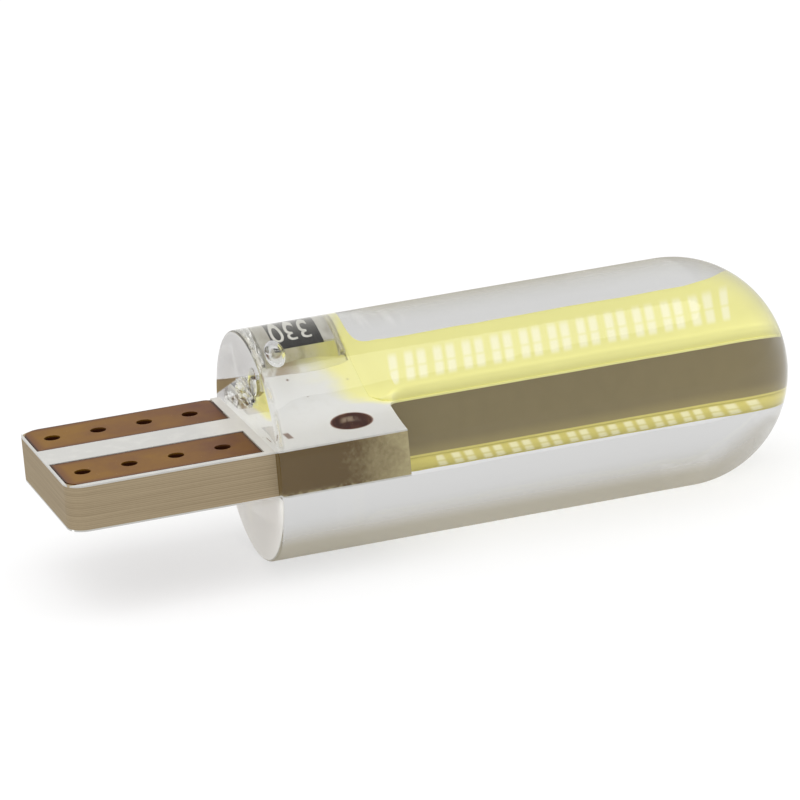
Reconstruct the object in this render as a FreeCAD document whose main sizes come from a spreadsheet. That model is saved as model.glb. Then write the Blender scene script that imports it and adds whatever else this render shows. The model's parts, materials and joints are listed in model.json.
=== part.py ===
"""Wedge base LED bulb: a printed board with a light strip on both faces, moulded into a clear gel body.

X runs along the bulb from the bare tongue (the wedge base) to the dome, and Z is the board's upward normal.
The origin is on the bulb's axis, in the flat end of the gel body that seats against the lamp holder.
All sizes are in millimetres.
"""
import FreeCAD, Part
import math
import os
import re
import Sketcher

SIZES = {
    # Gel body: a moulded round bar with a half-ball end.
    "body_diameter": 10.0,
    "body_straight": 19.2,
    "rim_bevel": 0.3,
    # Board: a wide block with the bare tongue, and a narrow strip that carries the light-emitting dies.
    "core_thickness": 1.86,
    "board_width": 8.8,
    "tongue_length": 9.0,
    "corner_round": 0.8,
    "near_block_length": 5.75,
    "far_block_length": 5.4,
    "strip_width": 3.4,
    "strip_shift": 0.7,
    "strip_reach": 23.2,
    "near_shoulder_round": 0.35,
    "far_shoulder_flat": 0.6,
    # Films on the board: etched copper, its plated finish on the pads, and the white lacquer.
    "copper_thickness": 0.04,
    "finish_thickness": 0.01,
    "mask_thickness": 0.07,
    "mask_clearance": 0.05,
    # Contact pads on the tongue, two on each face.
    "pad_tip_margin": 0.15,
    "pad_body_margin": 0.45,
    "far_pad_width": 3.1,
    "near_pad_width": 3.2,
    "near_pad_margin": 0.35,
    "far_pad_round": 0.3,
    "near_pad_round": 0.15,
    "track_width": 0.4,
    "track_join": 0.8,
    "track_reach": 1.05,
    # Plated holes that join the upper and lower pads.
    "via_bore": 0.7,
    "via_wall": 0.04,
    "via_tip_margin": 1.15,
    "via_body_margin": 1.76,
    # Larger plated hole in the block.
    "eyelet_bore": 1.7,
    "eyelet_wall": 0.06,
    "eyelet_end_margin": 1.95,
    "eyelet_side_margin": 2.15,
    # Light-emitting dies, in pairs of columns.
    "die_length": 0.76,
    "die_width": 0.34,
    "die_height": 0.15,
    "die_gap": 0.1,
    "column_step": 0.57,
    "column_start_margin": 0.58,
    "column_end_margin": 1.12,
    # Yellow phosphor bead over the dies.
    "bead_height": 0.5,
    "bead_margin": 0.02,
    "bead_clearance": 0.05,
    "bead_slant": 0.9,
    "bead_end_margin": 0.05,
    "bead_corner": 0.35,
    "bead_bevel": 0.25,
    # Chip resistor and its solder.
    "resistor_length": 3.2,
    "resistor_width": 1.6,
    "resistor_height": 0.65,
    "resistor_end_margin": 0.75,
    "resistor_side_margin": 0.42,
    "cap_length": 0.5,
    "cap_wall": 0.05,
    "coat_thickness": 0.04,
    "solder_reach": 0.3,
}
VIAS_PER_ROW = 4
COLUMN_PAIRS = 12
SAME_PLACE = 1e-3

# Heights above the board's middle plane.
CORE_TOP = "(core_thickness / 2)"
COPPER_TOP = "(core_thickness / 2 + copper_thickness)"
PAD_TOP = "(core_thickness / 2 + copper_thickness + finish_thickness)"
BOARD_TOP = "(core_thickness / 2 + mask_thickness)"
# Places across the board (far is +Y, near is -Y).
HALF_BOARD = "(board_width / 2)"
STRIP_FAR = "(strip_shift + strip_width / 2)"
STRIP_NEAR = "(strip_shift - strip_width / 2)"
SHOULDER_ROUND = "(board_width / 2 - strip_shift - strip_width / 2 - far_shoulder_flat)"
FAR_PAD_FAR = "(board_width / 2 - mask_clearance)"
FAR_PAD_NEAR = "(board_width / 2 - mask_clearance - far_pad_width)"
NEAR_PAD_NEAR = "(near_pad_margin - board_width / 2)"
NEAR_PAD_FAR = "(near_pad_margin + near_pad_width - board_width / 2)"
FAR_VIA_ROW = "(%s + %s) / 2" % (FAR_PAD_NEAR, FAR_PAD_FAR)
NEAR_VIA_ROW = "(%s + %s) / 2" % (NEAR_PAD_NEAR, NEAR_PAD_FAR)
RESISTOR_FAR = "(board_width / 2 - resistor_side_margin)"
RESISTOR_NEAR = "(board_width / 2 - resistor_side_margin - resistor_width)"
EYELET_SIDE = "(eyelet_side_margin - board_width / 2)"
# Places along the board.
TIP = "(-tongue_length)"
PAD_START = "(pad_tip_margin - tongue_length)"
PAD_END = "(-pad_body_margin)"
FIRST_VIA = "(via_tip_margin - tongue_length)"
VIA_PITCH = "(tongue_length - via_tip_margin - via_body_margin) / %d" % (VIAS_PER_ROW - 1)
EYELET_ALONG = "(near_block_length - eyelet_end_margin)"
TRACK_END = "(near_block_length + track_reach)"
RESISTOR_END = "(far_block_length - resistor_end_margin)"
RESISTOR_START = "(far_block_length - resistor_end_margin - resistor_length)"
BEAD_START = "(%s + solder_reach + bead_clearance)" % RESISTOR_END
BEAD_END = "(strip_reach - bead_end_margin)"
COLUMN_START = "(%s + bead_slant + column_start_margin)" % BEAD_START
COLUMN_END = "(strip_reach - column_end_margin)"
COLUMN_PITCH = "(%s - %s) / %d" % (COLUMN_END, COLUMN_START, COLUMN_PAIRS)

doc = FreeCAD.newDocument("wedge_base_led_bulb")
sheet = doc.addObject("Spreadsheet::Sheet", "sizes")
nodes = []


def fill_sheet():
    """Write each size and its alias on its own row of the sheet."""
    for row, (alias, size) in enumerate(SIZES.items(), start=1):
        sheet.set("A%d" % row, alias)
        sheet.set("B%d" % row, str(size))
        sheet.setAlias("B%d" % row, alias)
    doc.recompute()


def linked(text):
    """The expression text with each size's name pointed at the sheet."""
    return re.sub(r"([a-z][a-z_]+)", r"sizes.\1", text)


def number(text):
    """The present value of an expression text."""
    return float(sheet.evalExpression(linked(text)))


def bind(owner, **places):
    """Bind properties to expression texts; a double underscore in a name stands for a dot."""
    for name, text in places.items():
        owner.setExpression(name.replace("__", "."), linked(text))


def node(shape_object, label):
    """Name a finished sub-part and put it on the list of those that are written out."""
    shape_object.Label = label
    nodes.append(shape_object)
    return shape_object


def sketch_on(body, name, role, height=None):
    """A sketch on one of the body's own origin planes, lifted by the height."""
    sketch = body.newObject("Sketcher::SketchObject", name)
    plane = [feature for feature in body.Origin.OriginFeatures if feature.Role == role][0]
    sketch.AttachmentSupport = [(plane, "")]
    sketch.MapMode = "FlatFace"
    if height:
        bind(sketch, AttachmentOffset__Base__z=height)
    return sketch


def fix_distance(sketch, kind, geometry, end, text):
    """Hold one point of a sketch at a bound distance from its origin, sideways or upwards."""
    rule = sketch.addConstraint(Sketcher.Constraint(kind, -1, 1, geometry, end, number(text)))
    sketch.setExpression("Constraints[%d]" % rule, linked(text))


def fix_point(sketch, geometry, end, across, up):
    """Hold one point of a sketch at two bound distances from its origin."""
    fix_distance(sketch, "DistanceX", geometry, end, across)
    fix_distance(sketch, "DistanceY", geometry, end, up)


def draw_outline(sketch, corners):
    """A closed run of straight lines through the corners."""
    points = [FreeCAD.Vector(number(across), number(up), 0) for across, up in corners]
    first = sketch.GeometryCount
    count = len(corners)
    for index, point in enumerate(points):
        sketch.addGeometry(Part.LineSegment(point, points[(index + 1) % count]), False)
    for index, (across, up) in enumerate(corners):
        following = first + (index + 1) % count
        sketch.addConstraint(Sketcher.Constraint("Coincident", first + index, 2, following, 1))
        fix_point(sketch, first + index, 1, across, up)


def draw_rectangle(sketch, left, right, low, high):
    """A rectangle between four bound sides."""
    draw_outline(sketch, [(left, low), (right, low), (right, high), (left, high)])


def draw_circle(sketch, across, up, radius):
    """A circle with a bound centre and radius."""
    centre = FreeCAD.Vector(number(across), number(up), 0)
    circle = sketch.addGeometry(Part.Circle(centre, FreeCAD.Vector(0, 0, 1), number(radius)), False)
    fix_point(sketch, circle, 3, across, up)
    rule = sketch.addConstraint(Sketcher.Constraint("Radius", circle, number(radius)))
    sketch.setExpression("Constraints[%d]" % rule, linked(radius))


def raise_pad(body, sketch, name, length, both_ways=False):
    """Pad a sketch by a bound length, upwards or half of it each way."""
    pad = body.newObject("PartDesign::Pad", name)
    pad.Profile = sketch
    pad.SideType = "Symmetric" if both_ways else "One side"
    bind(pad, Length=length)
    doc.recompute()


def cut_through(body, sketch, name):
    """Cut a sketch right through the body, both ways."""
    before = body.Shape.Volume
    pocket = body.newObject("PartDesign::Pocket", name)
    pocket.Profile = sketch
    pocket.Type = "ThroughAll"
    pocket.SideType = "Symmetric"
    doc.recompute()
    if not body.Shape.Volume < before:
        raise RuntimeError("%s cuts nothing" % name)
    return pocket


def edges_of(body, wanted):
    """The body's last feature and the names of its edges for which wanted(edge) is true."""
    base = body.Tip
    names = ["Edge%d" % index for index, edge in enumerate(base.Shape.Edges, start=1) if wanted(edge)]
    if not names:
        raise RuntimeError("%s has no such edge" % base.Name)
    return base, names


def round_edges(body, name, radius, wanted):
    """Fillet the edges of the body's last feature for which wanted(edge) is true."""
    edges = edges_of(body, wanted)
    fillet = body.newObject("PartDesign::Fillet", name)
    fillet.Base = edges
    bind(fillet, Radius=radius)
    doc.recompute()


def upright_at(corners):
    """A test for the upright edges that stand at any of the corners."""
    spots = [(number(across), number(up)) for across, up in corners]

    def wanted(edge):
        box = edge.BoundBox
        if box.XLength > SAME_PLACE or box.YLength > SAME_PLACE:
            return False
        return any(abs(box.XMin - x) < SAME_PLACE and abs(box.YMin - y) < SAME_PLACE for x, y in spots)

    return wanted


def block(name, start, near, bottom, length, width, height):
    """A box from its lowest corner and its three bound sides."""
    box = doc.addObject("Part::Box", name)
    bind(box, Length=length, Width=width, Height=height)
    bind(box, Placement__Base__x=start, Placement__Base__y=near, Placement__Base__z=bottom)
    return box


def post(name, along, across, bottom, radius, height):
    """An upright cylinder."""
    cylinder = doc.addObject("Part::Cylinder", name)
    bind(cylinder, Radius=radius, Height=height)
    bind(cylinder, Placement__Base__x=along, Placement__Base__y=across, Placement__Base__z=bottom)
    return cylinder


def take_away(name, base, tool):
    """One solid less another."""
    cut = doc.addObject("Part::Cut", name)
    cut.Base = base
    cut.Tool = tool
    return cut


def join(name, pieces):
    """One solid from several that touch."""
    fuse = doc.addObject("Part::MultiFuse", name)
    fuse.Shapes = pieces
    return fuse


def group(name, pieces):
    """Several separate solids of one sub-part."""
    compound = doc.addObject("Part::Compound", name)
    compound.Links = pieces
    return compound


def mirrored_below(source, name):
    """The same form on the board's lower face."""
    mirror = doc.addObject("Part::Mirroring", name)
    mirror.Source = source
    mirror.Normal = FreeCAD.Vector(0, 0, 1)
    return mirror


def lower_face_copy(source):
    """The lower face's sub-part that matches one of the upper face."""
    label = source.Label.replace("_top", "_bottom")
    return node(mirrored_below(source, label), label)


def dome_end_copy(source, name):
    """The same piece at the other end of the resistor."""
    mirror = doc.addObject("Part::Mirroring", name)
    mirror.Source = source
    mirror.Normal = FreeCAD.Vector(1, 0, 0)
    bind(mirror, Base__x="%s - resistor_length / 2" % RESISTOR_END)
    return mirror


def board_corners():
    """Plan of the board: tongue and block of full width, then the narrow strip set to the far side."""
    return [
        (TIP, "-" + HALF_BOARD),
        ("near_block_length", "-" + HALF_BOARD),
        ("near_block_length", STRIP_NEAR),
        ("strip_reach", STRIP_NEAR),
        ("strip_reach", STRIP_FAR),
        ("far_block_length", STRIP_FAR),
        ("far_block_length", HALF_BOARD),
        (TIP, HALF_BOARD),
    ]


def round_board(body):
    """Rounded tongue corners, and the routing cutter's radius in the two inside corners."""
    tips = upright_at([(TIP, "-" + HALF_BOARD), (TIP, HALF_BOARD)])
    round_edges(body, body.Name + "_tip_rounds", "corner_round", tips)
    near = upright_at([("near_block_length", STRIP_NEAR)])
    round_edges(body, body.Name + "_near_shoulder", "near_shoulder_round", near)
    far = upright_at([("far_block_length", STRIP_FAR)])
    round_edges(body, body.Name + "_far_shoulder", SHOULDER_ROUND, far)


def drill_via_rows(body):
    """The first hole of each row, repeated along the tongue."""
    sketch = sketch_on(body, "via_sketch", "XY_Plane")
    for row in (FAR_VIA_ROW, NEAR_VIA_ROW):
        draw_circle(sketch, FIRST_VIA, row, "via_bore / 2 + via_wall")
    pocket = cut_through(body, sketch, "via_holes")
    pattern = body.newObject("PartDesign::LinearPattern", "via_pattern")
    pattern.Originals = [pocket]
    pattern.Direction = (sketch, ["H_Axis"])
    pattern.Occurrences = VIAS_PER_ROW
    bind(pattern, Length="tongue_length - via_tip_margin - via_body_margin")
    body.Tip = pattern
    doc.recompute()


def make_core():
    """Glass-fibre core of the board."""
    body = doc.addObject("PartDesign::Body", "core")
    sketch = sketch_on(body, "core_sketch", "XY_Plane")
    draw_outline(sketch, board_corners())
    raise_pad(body, sketch, "core_pad", "core_thickness", both_ways=True)
    round_board(body)
    drill_via_rows(body)
    hole = sketch_on(body, "core_eyelet_sketch", "XY_Plane")
    draw_circle(hole, EYELET_ALONG, EYELET_SIDE, "eyelet_bore / 2 + eyelet_wall")
    cut_through(body, hole, "core_eyelet_hole")
    return node(body, "board_core")


def make_film(name, corners):
    """A piece of etched copper on the upper face of the core."""
    body = doc.addObject("PartDesign::Body", name)
    sketch = sketch_on(body, name + "_sketch", "XY_Plane", CORE_TOP)
    draw_outline(sketch, corners)
    raise_pad(body, sketch, name + "_pad", "copper_thickness")
    return body


def make_contact(label, corners, low, high, rounds, row):
    """One contact: copper on both faces of the core, joined through its row of plated holes.

    The pad between low and high is plated thicker than the track that leads into the gel.
    """
    upper = make_film(label + "_film", corners)
    finish = sketch_on(upper, label + "_finish_sketch", "XY_Plane", COPPER_TOP)
    draw_rectangle(finish, PAD_START, PAD_END, low, high)
    raise_pad(upper, finish, label + "_finish_pad", "finish_thickness")
    for radius, spot in rounds.items():
        round_edges(upper, "%s_%s" % (label, radius), radius, upright_at([spot]))
    solids = [upper, mirrored_below(upper, label + "_film_below")]
    bores = []
    wall = "via_bore / 2 + via_wall"
    for index in range(VIAS_PER_ROW):
        along = "%s + %d * %s" % (FIRST_VIA, index, VIA_PITCH)
        name = "%s_%%s_%d" % (label, index)
        solids.append(post(name % "plating", along, row, "-" + CORE_TOP, wall, "2 * " + CORE_TOP))
        bores.append(post(name % "bore", along, row, "-" + PAD_TOP, "via_bore / 2", "2 * " + PAD_TOP))
    copper = join(label + "_copper", solids)
    return node(take_away(label + "_drilled", copper, group(label + "_bores", bores)), label)


def make_far_contact():
    """Far contact pad with its track to the resistor's first land."""
    land_end = "(%s + cap_length)" % RESISTOR_START
    corners = [
        (PAD_START, FAR_PAD_NEAR),
        (PAD_END, FAR_PAD_NEAR),
        (PAD_END, RESISTOR_NEAR),
        (land_end, RESISTOR_NEAR),
        (land_end, RESISTOR_FAR),
        (PAD_END, RESISTOR_FAR),
        (PAD_END, FAR_PAD_FAR),
        (PAD_START, FAR_PAD_FAR),
    ]
    rounds = {"corner_round": (PAD_START, FAR_PAD_FAR), "far_pad_round": (PAD_END, FAR_PAD_FAR)}
    return make_contact("contact_far", corners, FAR_PAD_NEAR, FAR_PAD_FAR, rounds, FAR_VIA_ROW)


def make_near_contact():
    """Near contact pad with its track along the block to the near side of the light strip."""
    side_step = "(%s - track_join)" % PAD_END
    track_far = "(%s + track_width)" % NEAR_PAD_FAR
    corners = [
        (PAD_START, NEAR_PAD_NEAR),
        (PAD_END, NEAR_PAD_NEAR),
        (PAD_END, NEAR_PAD_FAR),
        (TRACK_END, NEAR_PAD_FAR),
        (TRACK_END, track_far),
        (side_step, track_far),
        (side_step, NEAR_PAD_FAR),
        (PAD_START, NEAR_PAD_FAR),
    ]
    rounds = {"corner_round": (PAD_START, NEAR_PAD_NEAR), "near_pad_round": (PAD_END, NEAR_PAD_NEAR)}
    return make_contact("contact_near", corners, NEAR_PAD_NEAR, NEAR_PAD_FAR, rounds, NEAR_VIA_ROW)


def make_link_track():
    """Track from the resistor's second land to the far side of the light strip."""
    land_start = "(%s - cap_length)" % RESISTOR_END
    land_end = "(%s + solder_reach)" % RESISTOR_END
    neck_start = "(%s - track_width)" % land_end
    track_near = "(%s - track_width)" % RESISTOR_NEAR
    corners = [
        (land_start, RESISTOR_NEAR),
        (neck_start, RESISTOR_NEAR),
        (neck_start, track_near),
        (TRACK_END, track_near),
        (TRACK_END, RESISTOR_NEAR),
        (land_end, RESISTOR_NEAR),
        (land_end, RESISTOR_FAR),
        (land_start, RESISTOR_FAR),
    ]
    return node(make_film("link", corners), "link_track_top")


def make_mask(copper):
    """White lacquer film on the upper face, open at the pads, the resistor's lands and the plated hole."""
    body = doc.addObject("PartDesign::Body", "mask")
    sketch = sketch_on(body, "mask_sketch", "XY_Plane", CORE_TOP)
    draw_outline(sketch, board_corners())
    raise_pad(body, sketch, "mask_pad", "mask_thickness")
    round_board(body)
    window_start = PAD_START + " - mask_clearance"
    window_end = PAD_END + " + mask_clearance"
    far_low = FAR_PAD_NEAR + " - mask_clearance"
    far_high = HALF_BOARD + " + mask_clearance"
    near_low = NEAR_PAD_NEAR + " - mask_clearance"
    near_high = NEAR_PAD_FAR + " + mask_clearance"
    land_low = RESISTOR_NEAR + " - mask_clearance"
    land_high = RESISTOR_FAR + " + mask_clearance"
    openings = sketch_on(body, "mask_openings_sketch", "XY_Plane")
    draw_rectangle(openings, window_start, window_end, far_low, far_high)
    draw_rectangle(openings, window_start, window_end, near_low, near_high)
    first_start = RESISTOR_START + " - solder_reach - mask_clearance"
    first_end = RESISTOR_START + " + cap_length + mask_clearance"
    draw_rectangle(openings, first_start, first_end, land_low, land_high)
    second_start = RESISTOR_END + " - cap_length - mask_clearance"
    second_end = RESISTOR_END + " + solder_reach + mask_clearance"
    draw_rectangle(openings, second_start, second_end, land_low, land_high)
    draw_circle(openings, EYELET_ALONG, EYELET_SIDE, "eyelet_bore / 2 + eyelet_wall")
    cut_through(body, openings, "mask_openings")
    return node(take_away("mask_film", body, join("copper_in_mask", copper)), "solder_mask_top")


def make_eyelet():
    """Plated barrel of the larger hole in the block."""
    spot = (EYELET_ALONG, EYELET_SIDE, "-" + BOARD_TOP)
    outer = post("eyelet_outer", *spot, "eyelet_bore / 2 + eyelet_wall", "2 * " + BOARD_TOP)
    bore = post("eyelet_bore", *spot, "eyelet_bore / 2", "2 * " + BOARD_TOP)
    return node(take_away("eyelet", outer, bore), "eyelet_barrel")


def make_dies():
    """Two dies end to end in each column: one column, eleven pairs of columns, one column."""
    dies = []
    near_row = "(strip_shift - die_gap / 2 - die_length)"
    far_row = "(strip_shift + die_gap / 2)"
    for pair in range(COLUMN_PAIRS):
        single = "%s + %d * %s - die_width / 2" % (COLUMN_START, pair, COLUMN_PITCH)
        partner = "%s + %d * %s - column_step - die_width / 2" % (COLUMN_START, pair + 1, COLUMN_PITCH)
        for side, along in (("right", single), ("left", partner)):
            for row_name, row in (("near", near_row), ("far", far_row)):
                name = "die_%s_%s_%d" % (side, row_name, pair)
                dies.append(block(name, along, row, BOARD_TOP, "die_width", "die_length", "die_height"))
    return node(group("dies", dies), "led_dies_top")


def make_bead():
    """Outer form of the phosphor bead: slanted start, rounded corners and sloping top edges."""
    body = doc.addObject("PartDesign::Body", "bead")
    sketch = sketch_on(body, "bead_sketch", "XY_Plane", BOARD_TOP)
    far = STRIP_FAR + " - bead_margin"
    near = STRIP_NEAR + " + bead_margin"
    corners = [(BEAD_START, far), (BEAD_START + " + bead_slant", near), (BEAD_END, near), (BEAD_END, far)]
    draw_outline(sketch, corners)
    raise_pad(body, sketch, "bead_pad", "bead_height")
    round_edges(body, "bead_corners", "bead_corner", upright_at(corners))
    top = number(BOARD_TOP + " + bead_height")
    edges = edges_of(body, lambda edge: edge.BoundBox.ZMin > top - SAME_PLACE)
    bevel = body.newObject("PartDesign::Chamfer", "bead_top")
    bevel.Base = edges
    bind(bevel, Size="bead_bevel")
    doc.recompute()
    return body


def make_resistor():
    """Ceramic body, black coat and two wrapped end caps of the chip resistor."""
    ceramic = block(
        "ceramic",
        RESISTOR_START + " + cap_wall",
        RESISTOR_NEAR,
        BOARD_TOP + " + cap_wall",
        "resistor_length - 2 * cap_wall",
        "resistor_width",
        "resistor_height - 2 * cap_wall",
    )
    coat = block(
        "coat",
        RESISTOR_START + " + cap_length",
        RESISTOR_NEAR,
        BOARD_TOP + " + resistor_height - cap_wall",
        "resistor_length - 2 * cap_length",
        "resistor_width",
        "coat_thickness",
    )
    spot = (RESISTOR_START, RESISTOR_NEAR, BOARD_TOP)
    cap_box = block("cap_box", *spot, "cap_length", "resistor_width", "resistor_height")
    cap = take_away("cap", cap_box, ceramic)
    return [
        node(ceramic, "resistor_ceramic_top"),
        node(coat, "resistor_coat_top"),
        node(cap, "resistor_cap_top_base"),
        node(dome_end_copy(cap, "cap_dome"), "resistor_cap_top_dome"),
    ]


def make_solder():
    """Solder film under each end cap, with its hollow fillet up the cap's end."""
    toe = RESISTOR_START + " - solder_reach"
    film = block(
        "solder_film",
        toe,
        RESISTOR_NEAR,
        COPPER_TOP,
        "solder_reach + cap_length",
        "resistor_width",
        "mask_thickness - copper_thickness",
    )
    rise = block(
        "solder_rise", toe, RESISTOR_NEAR, BOARD_TOP, "solder_reach", "resistor_width", "solder_reach"
    )
    hollow = doc.addObject("Part::Cylinder", "solder_hollow")
    hollow.Placement.Rotation = FreeCAD.Rotation(FreeCAD.Vector(1, 0, 0), -90)
    bind(hollow, Radius="solder_reach", Height="resistor_width")
    bind(
        hollow,
        Placement__Base__x=toe,
        Placement__Base__y=RESISTOR_NEAR,
        Placement__Base__z=BOARD_TOP + " + solder_reach",
    )
    joint = take_away("solder", join("solder_block", [film, rise]), hollow)
    return [
        node(joint, "solder_joint_top_base"),
        node(dome_end_copy(joint, "solder_dome"), "solder_joint_top_dome"),
    ]


def make_gel_form():
    """Outer form of the gel body, turned about the bulb's axis: flat end, straight bar, half ball."""
    body = doc.addObject("PartDesign::Body", "gel_form")
    sketch = sketch_on(body, "gel_sketch", "XZ_Plane")
    radius = number("body_diameter / 2")
    straight = number("body_straight")
    bevel = number("rim_bevel")
    profile = [(0, 0), (0, radius - bevel), (bevel, radius), (straight, radius)]
    points = [FreeCAD.Vector(across, up, 0) for across, up in profile]
    face, slope, side = [
        sketch.addGeometry(Part.LineSegment(start, end), False) for start, end in zip(points, points[1:])
    ]
    circle = Part.Circle(FreeCAD.Vector(straight, 0, 0), FreeCAD.Vector(0, 0, 1), radius)
    dome = sketch.addGeometry(Part.ArcOfCircle(circle, 0, math.pi / 2), False)
    apex = FreeCAD.Vector(straight + radius, 0, 0)
    axis = sketch.addGeometry(Part.LineSegment(apex, points[0]), False)
    for first, first_end, second, second_end in (
        (face, 1, -1, 1), (face, 2, slope, 1), (slope, 2, side, 1), (side, 2, dome, 2), (dome, 1, axis, 1),
        (axis, 2, face, 1),
    ):
        sketch.addConstraint(Sketcher.Constraint("Coincident", first, first_end, second, second_end))
    sketch.addConstraint(Sketcher.Constraint("Vertical", face))
    sketch.addConstraint(Sketcher.Constraint("Horizontal", axis))
    sketch.addConstraint(Sketcher.Constraint("PointOnObject", dome, 3, axis))
    fix_distance(sketch, "DistanceY", face, 2, "body_diameter / 2 - rim_bevel")
    fix_point(sketch, slope, 2, "rim_bevel", "body_diameter / 2")
    fix_point(sketch, side, 2, "body_straight", "body_diameter / 2")
    fix_distance(sketch, "DistanceX", dome, 3, "body_straight")
    turned = body.newObject("PartDesign::Revolution", "gel_turned")
    turned.Profile = sketch
    turned.ReferenceAxis = (sketch, ["H_Axis"])
    turned.Angle = 360
    doc.recompute()
    return body


def make_bulb():
    """Every sub-part, from the board's core outwards."""
    core = make_core()
    contacts = [make_far_contact(), make_near_contact()]
    link = make_link_track()
    mask = make_mask(contacts + [link])
    eyelet = make_eyelet()
    dies = make_dies()
    bead = make_bead()
    phosphor = node(take_away("phosphor", bead, dies), "phosphor_bead_top")
    covered = [mask, link] + make_resistor() + make_solder()
    below = [lower_face_copy(piece) for piece in covered]
    for piece in (dies, phosphor):
        lower_face_copy(piece)
    beads = [bead, mirrored_below(bead, "bead_below")]
    embedded = join("embedded", [core, eyelet] + contacts + covered + below + beads)
    node(take_away("gel", make_gel_form(), embedded), "gel_body")
    doc.recompute()


def check_and_write():
    """Stop on any failed object or bad shape, then write one file for each sub-part."""
    for item in doc.Objects:
        if "Invalid" in item.State or "Error" in item.State:
            raise RuntimeError("%s failed: %s" % (item.Label, item.State))
    os.makedirs("parts", exist_ok=True)
    for item in nodes:
        shape = item.Shape
        if shape.isNull() or not shape.isValid() or not shape.Solids:
            raise RuntimeError("%s has no valid solid" % item.Label)
        shape.exportStep(os.path.join("parts", item.Label + ".step"))
        print("%-28s %3d solids %10.4f mm3" % (item.Label, len(shape.Solids), shape.Volume))


fill_sheet()
make_bulb()
check_and_write()
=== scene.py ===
"""Looks of the wedge base LED bulb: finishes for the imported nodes, and finer poured and soldered surfaces.

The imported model's frame: X from the tongue to the dome, Z the upper face's normal, origin in the gel's flat
end. Blender works in metres. Sizes and places here are in millimetres, apart from the softbox's, and are
scaled once, where a mesh is made.
"""
import json

import bpy
import numpy as np
from mathutils import Matrix, Vector


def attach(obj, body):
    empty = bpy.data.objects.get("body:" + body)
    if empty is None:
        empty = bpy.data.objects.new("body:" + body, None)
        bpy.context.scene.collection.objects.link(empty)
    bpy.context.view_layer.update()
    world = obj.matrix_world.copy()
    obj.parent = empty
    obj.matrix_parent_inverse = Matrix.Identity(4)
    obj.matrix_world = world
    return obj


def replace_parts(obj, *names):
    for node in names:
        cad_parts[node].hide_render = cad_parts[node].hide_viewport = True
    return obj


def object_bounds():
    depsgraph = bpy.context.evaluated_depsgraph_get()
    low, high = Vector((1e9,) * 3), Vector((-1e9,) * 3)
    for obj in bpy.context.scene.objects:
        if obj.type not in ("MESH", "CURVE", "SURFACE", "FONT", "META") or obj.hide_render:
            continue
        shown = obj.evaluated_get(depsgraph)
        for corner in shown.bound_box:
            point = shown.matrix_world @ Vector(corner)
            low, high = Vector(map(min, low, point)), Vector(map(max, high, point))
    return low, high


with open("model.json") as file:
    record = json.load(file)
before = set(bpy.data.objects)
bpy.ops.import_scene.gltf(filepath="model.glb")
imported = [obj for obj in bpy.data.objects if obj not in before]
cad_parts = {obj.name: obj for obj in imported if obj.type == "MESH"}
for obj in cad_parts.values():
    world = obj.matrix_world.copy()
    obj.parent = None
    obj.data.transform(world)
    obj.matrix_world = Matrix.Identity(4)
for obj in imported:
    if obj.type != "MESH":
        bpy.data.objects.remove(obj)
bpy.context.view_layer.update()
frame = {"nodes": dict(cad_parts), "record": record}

MM = 0.001


def extent(node):
    """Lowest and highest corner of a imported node, in millimetres."""
    packed = frame["nodes"][node]
    places = np.empty(len(packed.data.vertices) * 3)
    packed.data.vertices.foreach_get("co", places)
    turn = np.array(packed.matrix_world.to_3x3())
    world = places.reshape(-1, 3) @ turn.T + np.array(packed.matrix_world.translation)
    return world.min(0) / MM, world.max(0) / MM


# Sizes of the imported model, which the finer surfaces and the painted patterns keep to
GEL_LOW, GEL_HIGH = extent("gel_body")
GEL_RADIUS = min(-GEL_LOW[1], -GEL_LOW[2], GEL_HIGH[1], GEL_HIGH[2])
GEL_STRAIGHT = GEL_HIGH[0] - GEL_RADIUS
BOARD_TOP = extent("solder_mask_top")[1][2]
BEAD_LOW, BEAD_HIGH = extent("phosphor_bead_top")
BEAD_HEIGHT = BEAD_HIGH[2] - BOARD_TOP
DIES_LOW, DIES_HIGH = extent("led_dies_top")
COAT_LOW, COAT_HIGH = extent("resistor_coat_top")
COAT_MIDDLE = (COAT_LOW + COAT_HIGH) / 2
CERAMIC_LOW, CERAMIC_HIGH = extent("resistor_ceramic_top")
FAR_LOW, FAR_HIGH = extent("contact_far")
NEAR_LOW = extent("contact_near")[0]
EYELET_LOW, EYELET_HIGH = extent("eyelet_barrel")
EYELET_CENTRE = tuple((EYELET_LOW[:2] + EYELET_HIGH[:2]) / 2)
EYELET_RADIUS = (EYELET_HIGH[0] - EYELET_LOW[0]) / 2

# Board: where the block steps in to the strip on each side, and where the pads end
NEAR_SHOULDER = 5.75
FAR_SHOULDER = 5.4
SHOULDER_ROUND = 1.4
SHOULDER_END = FAR_SHOULDER + SHOULDER_ROUND
PAD_END = -0.45
NEAR_PAD_WIDTH = 3.2
NEAR_PAD_FAR = NEAR_LOW[1] + NEAR_PAD_WIDTH

# Light-emitting dies: a single column, eleven pairs of columns, a single column
COLUMN_PAIRS = 12
DIE_WIDTH = 0.34
PAIR_STEP = 0.57
FIRST_COLUMN = DIES_LOW[0] + DIE_WIDTH / 2
COLUMN_PITCH = (DIES_HIGH[0] - DIE_WIDTH / 2 + PAIR_STEP - FIRST_COLUMN) / COLUMN_PAIRS
CROWDED_FROM = 20.0

# Gel body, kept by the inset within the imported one
GEL_INSET = 0.001
GEL_RIM_ROUND = 0.16
END_FACE_MILK = 0.8
GEL_INDEX = 1.41

# Phosphor pour
POUR_START = 5.1
POUR_SWELL = (5.0, 1.6)
POUR_END_ROUND = 0.3
THINNEST_POUR = 0.008
# Painted light: the pour and its stain on the lacquer glow by this share of their colour.
POUR_PAINTED_GLOW = 0.185

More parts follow.
